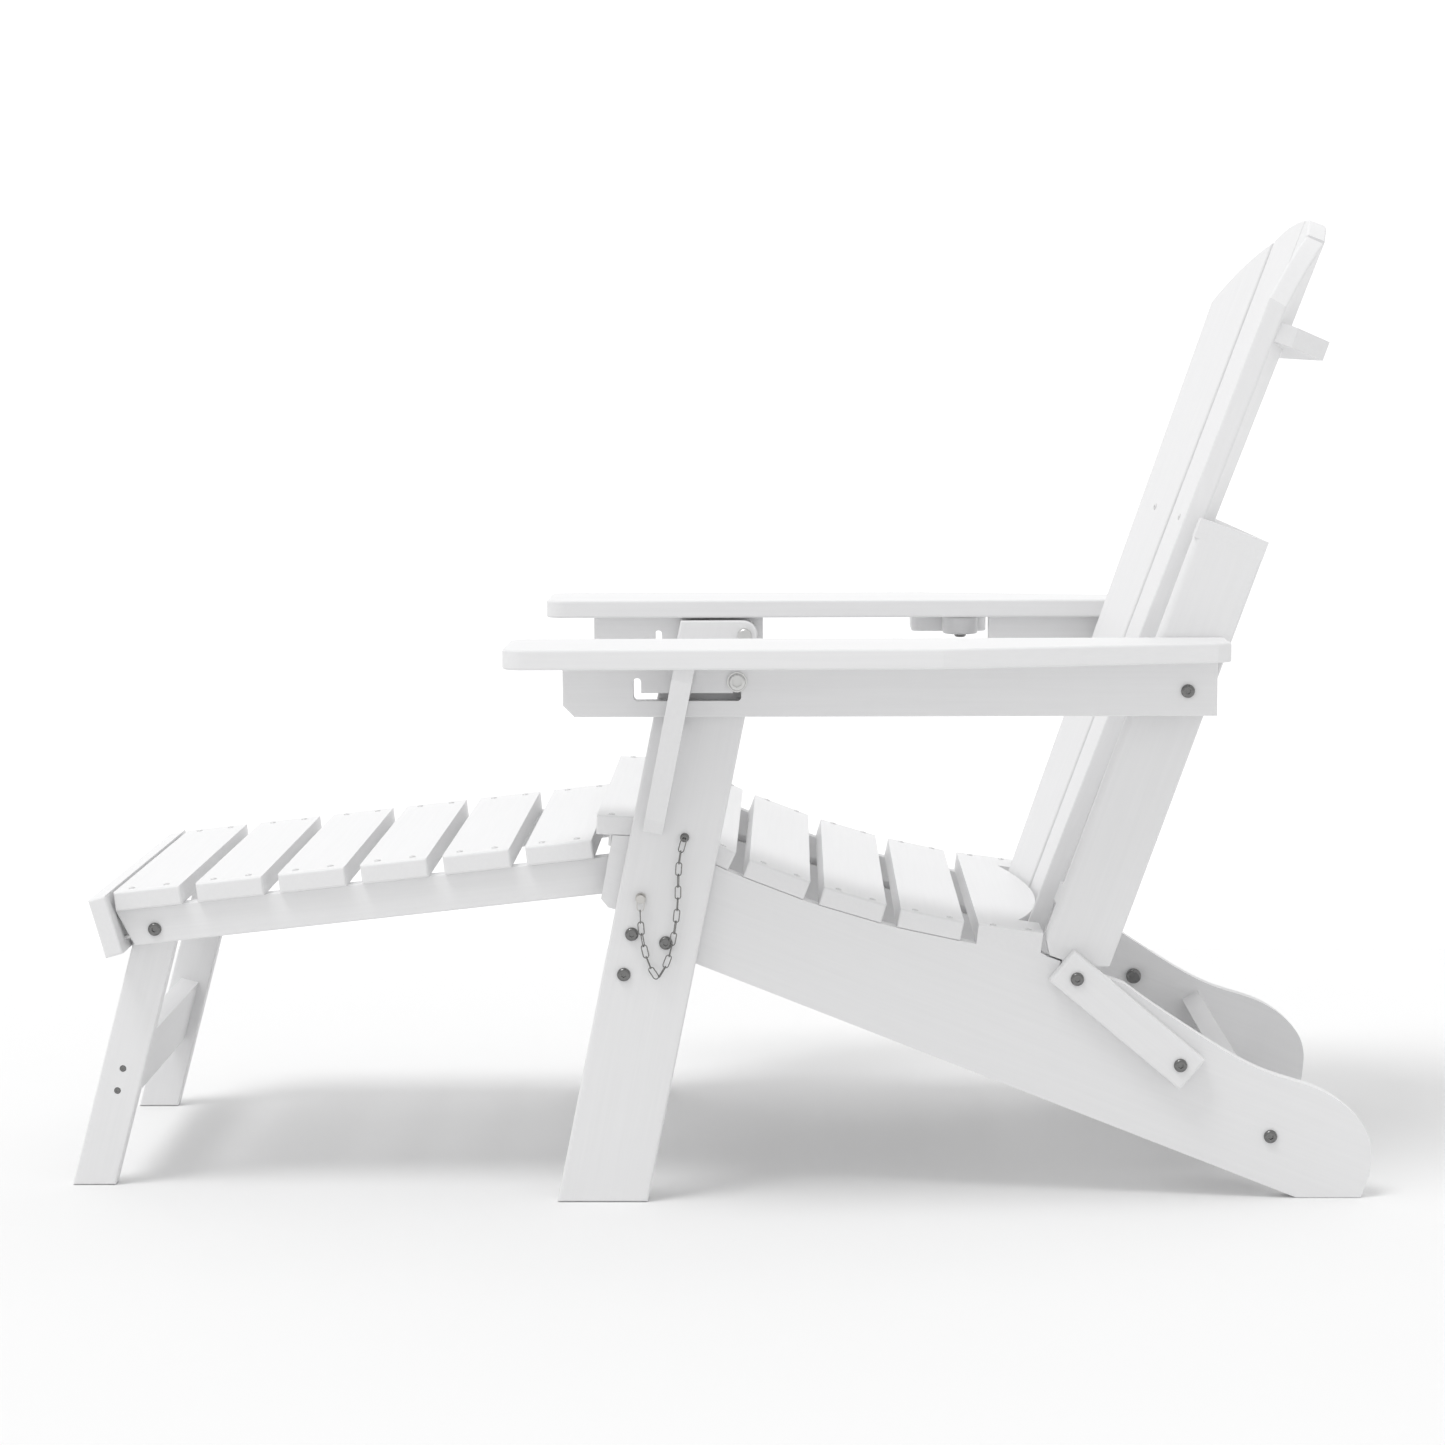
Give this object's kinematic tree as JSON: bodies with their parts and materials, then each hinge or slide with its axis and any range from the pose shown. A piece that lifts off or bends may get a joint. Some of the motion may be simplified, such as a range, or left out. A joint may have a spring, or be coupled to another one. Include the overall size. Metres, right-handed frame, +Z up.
{
  "type": "adirondack chair",
  "caption": "Folding adirondack chair in white plastic lumber, with fanned back slats, locking legs, swing-out cup holder and attached ottoman.",
  "frame": {"origin": "on the floor, under the middle of the chair's outline with its cup holder swung out", "axes": "+Z up, the sitter looks along -Y, +X is the sitter's left"},
  "size_m": [0.8395, 1.3349, 0.9921],
  "materials": {
    "white_lumber": "satin",
    "white_sleeve": "satin",
    "hardware": "polished",
    "chain_steel": "polished"
  },
  "bodies": {
    "seat_frame": {"stringer_left": "white_lumber", "stringer_right": "white_lumber", "seat_slat_1": "white_lumber", "seat_slat_2": "white_lumber", "seat_slat_3": "white_lumber", "seat_slat_4": "white_lumber", "seat_slat_5": "white_lumber", "seat_slat_6": "white_lumber", "rear_board": "white_lumber", "seat_screws": "hardware", "frame_bolts": "hardware"},
    "front_legs": {"front_leg_left": "white_lumber", "front_leg_right": "white_lumber", "arm_bracket_left": "white_lumber", "arm_bracket_right": "white_lumber", "front_stretcher": "white_lumber", "leg_stretcher_bolts": "hardware", "leg_top_bolts": "hardware", "chain_anchor_screws": "hardware", "lock_chain_left": "chain_steel", "lock_chain_right": "chain_steel"},
    "lock_pin_left_body": {"lock_pin_left": "hardware"},
    "lock_pin_right_body": {"lock_pin_right": "hardware"},
    "links": {"link_plate_left": "white_lumber", "link_plate_right": "white_lumber"},
    "back_pivots": {"back_pivot_bolts": "hardware"},
    "back": {"back_post_left": "white_lumber", "back_post_right": "white_lumber", "back_rail_lower": "white_lumber", "back_rail_middle": "white_lumber", "back_rail_head": "white_lumber", "back_slat_inner_left": "white_lumber", "back_slat_inner_right": "white_lumber", "back_slat_outer_left": "white_lumber", "back_slat_outer_right": "white_lumber", "back_screws": "hardware"},
    "arm_pivots": {"arm_pivot_bolts": "hardware", "arm_pivot_spacers": "white_sleeve"},
    "arms": {"arm_left": "white_lumber", "arm_right": "white_lumber", "arm_support_left": "white_lumber", "arm_support_right": "white_lumber", "cup_pivot_bolt": "hardware"},
    "cup_holder_body": {"cup_holder": "white_lumber"},
    "ottoman": {"ottoman_rail_left": "white_lumber", "ottoman_rail_right": "white_lumber", "ottoman_slat_1": "white_lumber", "ottoman_slat_2": "white_lumber", "ottoman_slat_3": "white_lumber", "ottoman_slat_4": "white_lumber", "ottoman_slat_5": "white_lumber", "ottoman_slat_6": "white_lumber", "ottoman_fascia": "white_lumber", "ottoman_screws": "hardware", "ottoman_guide_pins": "hardware", "ottoman_leg_bolts": "hardware"},
    "ottoman_legs": {"ottoman_leg_left": "white_lumber", "ottoman_leg_right": "white_lumber", "ottoman_leg_stretcher": "white_lumber", "ottoman_leg_screws": "hardware"}
  },
  "joints": [
    {"name": "fold", "type": "hinge", "parent": "seat_frame", "child": "front_legs", "pos_m": [0.03575, -0.0471, 0.2662], "axis": [1, 0, 0], "range_deg": [0, 84.5]},
    {"name": "link_swing", "type": "hinge", "parent": "seat_frame", "child": "links", "pos_m": [0.03575, 0.4711, 0.1407], "axis": [1, 0, 0], "range_deg": [-53.8, 0]},
    {"name": "back_swing", "type": "hinge", "parent": "links", "child": "back_pivots", "pos_m": [0.03575, 0.3667, 0.2289], "axis": [1, 0, 0], "range_deg": [0, 142.5]},
    {"name": "recline", "type": "hinge", "parent": "back_pivots", "child": "back", "pos_m": [0.03575, 0.3667, 0.2289], "axis": [-1, 0, 0], "range_deg": [0, 20.4]},
    {"name": "arm_recline", "type": "hinge", "parent": "back", "child": "arm_pivots", "pos_m": [0.03575, 0.4726, 0.5219], "axis": [1, 0, 0], "range_deg": [0, 14.7]},
    {"name": "arm_fold", "type": "hinge", "parent": "arm_pivots", "child": "arms", "pos_m": [0.03575, 0.4726, 0.5219], "axis": [1, 0, 0], "range_deg": [-86.3, 0]},
    {"name": "cup_holder_swing", "type": "hinge", "parent": "arms", "child": "cup_holder_body", "pos_m": [-0.27625, 0.275, 0.539], "axis": [0, 0, 1], "range_deg": [0, 90]},
    {"name": "ottoman_lift", "type": "hinge", "parent": "seat_frame", "child": "ottoman", "pos_m": [0.03575, -0.0741, 0.3314], "axis": [-1, 0, 0], "range_deg": [0, 9.5]},
    {"name": "ottoman_leg_fold", "type": "hinge", "parent": "ottoman", "child": "ottoman_legs", "pos_m": [0.03575, -0.5726, 0.272], "axis": [1, 0, 0], "range_deg": [0, 110]},
    {"name": "lock_pin_left_pull", "type": "slide", "parent": "front_legs", "child": "lock_pin_left_body", "axis": [1, 0, 0], "range_m": [0, 0.03]},
    {"name": "lock_pin_right_pull", "type": "slide", "parent": "front_legs", "child": "lock_pin_right_body", "axis": [-1, 0, 0], "range_m": [0, 0.03]}
  ],
  "couplings": [
    {"joint": "link_swing", "follows": "fold", "ratio": -0.6355},
    {"joint": "back_swing", "follows": "fold", "ratio": 1.685},
    {"joint": "arm_recline", "follows": "recline", "ratio": 0.716},
    {"joint": "arm_fold", "follows": "fold", "ratio": -1.02}
  ]
}
